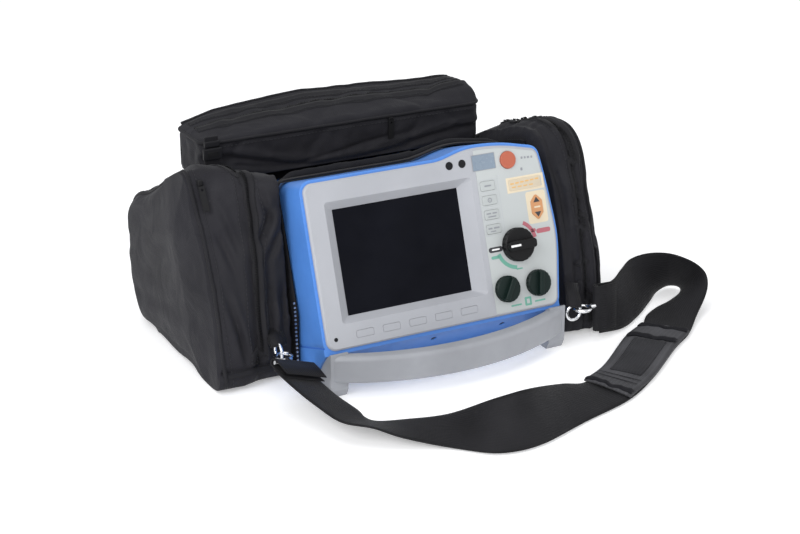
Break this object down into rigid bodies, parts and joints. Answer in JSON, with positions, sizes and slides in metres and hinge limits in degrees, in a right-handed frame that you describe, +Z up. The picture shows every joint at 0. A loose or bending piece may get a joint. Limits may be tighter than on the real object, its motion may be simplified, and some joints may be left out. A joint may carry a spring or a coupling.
{
  "type": "portable defibrillator in soft carry case",
  "caption": "Portable monitor defibrillator with sunk display, rotary selector and bowed carry handle, seated in a padded black fabric carry case with shoulder strap.",
  "frame": {"origin": "on the floor, on the underside of the carry case, at the device centreline below the middle of the display", "axes": "+X to the right seen from the front, +Y to the rear, +Z up; the control panel faces -Y and leans back"},
  "size_m": [0.5407, 0.4703, 0.22],
  "materials": {
    "blue_plastic": "moulded satin blue",
    "grey_plastic": "fine textured light grey",
    "black_plastic": "fine textured black",
    "overlay_film": "printed polyester film",
    "display_glass": "near-black anti-reflection window",
    "status_glass": "grey-blue lens",
    "lens_black": "smoked lens",
    "shock_orange": "translucent orange cap",
    "charge_yellow": "yellow key",
    "energy_orange": "orange key",
    "key_grey": "soft grey key",
    "knob_black": "satin black knob",
    "knob_green": "dark green knob",
    "pointer_white": "white inlay",
    "circuit_board": "solder-mask green",
    "chip_black": "moulded package",
    "switch_metal": "plated steel",
    "chassis_aluminium": "folded sheet",
    "capacitor_film": "wrapped film capacitor",
    "supply_metal": "perforated cover",
    "paper_white": "thermal paper",
    "roller_rubber": "ground rubber",
    "foot_rubber": "moulded rubber",
    "battery_plastic": "dark grey case",
    "screw_steel": "blackened steel",
    "case_fabric": "coated woven nylon, black",
    "webbing": "woven polypropylene webbing, charcoal",
    "pad_grip": "ribbed grip pad",
    "zip_metal": "black lacquered zip tab",
    "nickel": "nickel plated"
  },
  "bodies": {
    "unit": {"battery_well": "black_plastic", "board_chips": "chip_black", "carry_handle": "grey_plastic", "case_screws": "screw_steel", "case_sleeve": "case_fabric", "chassis_frame": "chassis_aluminium", "d_rings": "nickel", "display_window": "display_glass", "front_bezel": "grey_plastic", "hv_board": "circuit_board", "hv_capacitor": "capacitor_film", "indicator_lenses": "lens_black", "key_boards": "circuit_board", "key_domes": "switch_metal", "keypad_overlay": "overlay_film", "knob_encoders": "switch_metal", "lcd_module": "switch_metal", "left_pocket": "case_fabric", "main_board": "circuit_board", "mains_inlet": "black_plastic", "power_supply": "supply_metal", "rear_case": "blue_plastic", "rear_pouch": "case_fabric", "recorder_module": "black_plastic", "right_pocket": "case_fabric", "roll_spindle": "switch_metal", "rubber_feet": "foot_rubber", "selector_switch": "chip_black", "shoulder_pad": "pad_grip", "snap_hooks": "nickel", "speaker": "chip_black", "status_window": "status_glass", "strap_webbing": "webbing", "therapy_socket": "black_plastic", "top_deck": "black_plastic"},
    "selector_knob": {"selector_knob": "knob_black", "selector_pointer": "pointer_white"},
    "output_knob": {"output_knob": "knob_green"},
    "rate_knob": {"rate_knob": "knob_green"},
    "shock_button": {"shock_button": "shock_orange"},
    "charge_button": {"charge_button": "charge_yellow"},
    "energy_rocker": {"energy_rocker": "energy_orange"},
    "side_key_1": {"side_key_1": "key_grey"},
    "side_key_2": {"side_key_2": "key_grey"},
    "side_key_3": {"side_key_3": "key_grey"},
    "side_key_4": {"side_key_4": "key_grey"},
    "softkey_1": {"softkey_1": "grey_plastic"},
    "softkey_2": {"softkey_2": "grey_plastic"},
    "softkey_3": {"softkey_3": "grey_plastic"},
    "softkey_4": {"softkey_4": "grey_plastic"},
    "softkey_5": {"softkey_5": "grey_plastic"},
    "recorder_door": {"recorder_door": "black_plastic"},
    "paper_roll": {"paper_roll": "paper_white"},
    "platen_roller": {"platen_roller": "roller_rubber"},
    "battery_pack": {"battery_pack": "battery_plastic"},
    "pouch_lid": {"pouch_lid": "case_fabric"},
    "zip_pull_left": {"zip_pull_left": "zip_metal"},
    "zip_pull_pouch": {"zip_pull_pouch": "zip_metal"},
    "hook_gate_right": {"hook_gate_right": "nickel"},
    "hook_gate_left": {"hook_gate_left": "nickel"}
  },
  "joints": [
    {"name": "selector_turn", "type": "hinge", "parent": "unit", "child": "selector_knob", "pos_m": [0.084, -0.01304, 0.10765], "axis": [0, -0.9464, 0.3231], "range_deg": [-130, 50]},
    {"name": "output_turn", "type": "hinge", "parent": "unit", "child": "output_knob", "pos_m": [0.0656, -0.02613, 0.06932], "axis": [0, -0.9464, 0.3231], "continuous": true},
    {"name": "rate_turn", "type": "hinge", "parent": "unit", "child": "rate_knob", "pos_m": [0.1006, -0.02613, 0.06932], "axis": [0, -0.9464, 0.3231], "continuous": true},
    {"name": "shock_press", "type": "slide", "parent": "unit", "child": "shock_button", "axis": [0, 0.9464, -0.3231], "range_m": [0, 0.0009]},
    {"name": "charge_press", "type": "slide", "parent": "unit", "child": "charge_button", "axis": [0, 0.9464, -0.3231], "range_m": [0, 0.0008]},
    {"name": "energy_rock", "type": "hinge", "parent": "unit", "child": "energy_rocker", "pos_m": [0.1126, -0.00065, 0.13776], "axis": [1, 0, 0], "range_deg": [-3, 3]},
    {"name": "side_key_1_press", "type": "slide", "parent": "unit", "child": "side_key_1", "axis": [0, 0.9464, -0.3231], "range_m": [0, 0.0008]},
    {"name": "side_key_2_press", "type": "slide", "parent": "unit", "child": "side_key_2", "axis": [0, 0.9464, -0.3231], "range_m": [0, 0.0008]},
    {"name": "side_key_3_press", "type": "slide", "parent": "unit", "child": "side_key_3", "axis": [0, 0.9464, -0.3231], "range_m": [0, 0.0008]},
    {"name": "side_key_4_press", "type": "slide", "parent": "unit", "child": "side_key_4", "axis": [0, 0.9464, -0.3231], "range_m": [0, 0.0008]},
    {"name": "softkey_1_press", "type": "slide", "parent": "unit", "child": "softkey_1", "axis": [0, 0.9464, -0.3231], "range_m": [0, 0.0008]},
    {"name": "softkey_2_press", "type": "slide", "parent": "unit", "child": "softkey_2", "axis": [0, 0.9464, -0.3231], "range_m": [0, 0.0008]},
    {"name": "softkey_3_press", "type": "slide", "parent": "unit", "child": "softkey_3", "axis": [0, 0.9464, -0.3231], "range_m": [0, 0.0008]},
    {"name": "softkey_4_press", "type": "slide", "parent": "unit", "child": "softkey_4", "axis": [0, 0.9464, -0.3231], "range_m": [0, 0.0008]},
    {"name": "softkey_5_press", "type": "slide", "parent": "unit", "child": "softkey_5", "axis": [0, 0.9464, -0.3231], "range_m": [0, 0.0008]},
    {"name": "recorder_door_open", "type": "hinge", "parent": "unit", "child": "recorder_door", "pos_m": [-0.062, 0.15033, 0.15226], "axis": [-1, 0, 0], "range_deg": [0, 75]},
    {"name": "paper_roll_turn", "type": "hinge", "parent": "unit", "child": "paper_roll", "pos_m": [-0.062, 0.1086, 0.13586], "axis": [1, 0, 0], "continuous": true},
    {"name": "platen_turn", "type": "hinge", "parent": "unit", "child": "platen_roller", "pos_m": [-0.062, 0.08618, 0.16306], "axis": [1, 0, 0], "continuous": true},
    {"name": "battery_lift", "type": "slide", "parent": "unit", "child": "battery_pack", "axis": [0, 0.3231, 0.9464], "range_m": [0, 0.095]},
    {"name": "pouch_lid_open", "type": "hinge", "parent": "unit", "child": "pouch_lid", "pos_m": [0, 0.2344, 0.1943], "axis": [-1, 0, 0], "range_deg": [0, 100]},
    {"name": "zip_left_swing", "type": "hinge", "parent": "unit", "child": "zip_pull_left", "pos_m": [-0.2035, 0.0804, 0.1852], "axis": [1, 0, 0], "range_deg": [-80, 0]},
    {"name": "zip_pouch_swing", "type": "hinge", "parent": "unit", "child": "zip_pull_pouch", "pos_m": [0.04, 0.1648, 0.1925], "axis": [1, 0, 0], "range_deg": [-80, 0]},
    {"name": "gate_right_open", "type": "hinge", "parent": "unit", "child": "hook_gate_right", "pos_m": [0.1539, -0.03295, 0.037], "axis": [0, 0, 1], "range_deg": [0, 22]},
    {"name": "gate_left_open", "type": "hinge", "parent": "unit", "child": "hook_gate_left", "pos_m": [-0.15545, -0.006, 0.035], "axis": [0, 0, 1], "range_deg": [0, 22]}
  ],
  "couplings": [
    {"joint": "paper_roll_turn", "follows": "platen_turn", "ratio": -0.23684}
  ]
}
